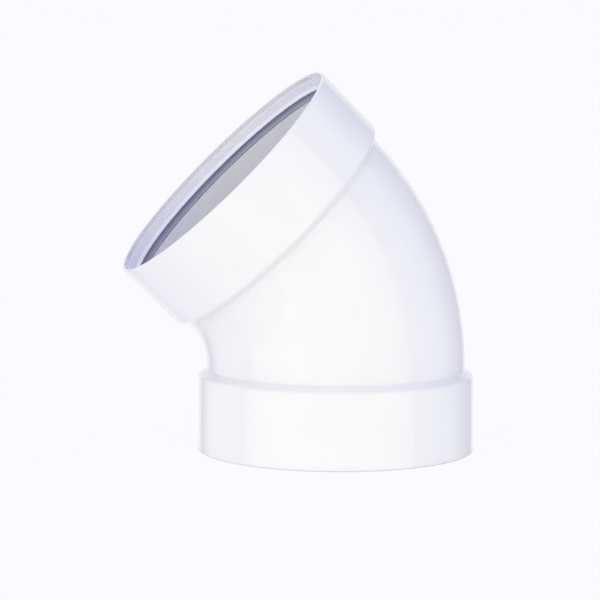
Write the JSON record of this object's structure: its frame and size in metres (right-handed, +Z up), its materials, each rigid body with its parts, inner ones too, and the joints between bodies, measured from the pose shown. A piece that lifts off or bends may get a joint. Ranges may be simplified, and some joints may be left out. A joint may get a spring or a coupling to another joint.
{
  "type": "flue elbow",
  "caption": "White push-fit flue elbow: a shallow pipe bend between matching sockets, each with a lip seal and a snap-in retaining ring.",
  "frame": {"origin": "on the lower socket's axis, at the plane of its pipe stop, where the pushed-in pipe ends", "axes": "+Z up the lower socket's axis into the bend, so the lower socket opens towards -Z; the bend leans towards -X and lies in the XZ plane; +Y completes the right-handed frame"},
  "size_m": [0.1359, 0.107, 0.146],
  "materials": {
    "body_plastic": "gloss moulded white plastic",
    "ring_plastic": "satin moulded off-white plastic",
    "seal_rubber": "smooth slate-grey seal rubber"
  },
  "bodies": {
    "root": {"elbow_body": "body_plastic", "lower_seal": "seal_rubber", "upper_seal": "seal_rubber", "lower_retaining_ring": "ring_plastic", "upper_retaining_ring": "ring_plastic"}
  },
  "joints": []
}
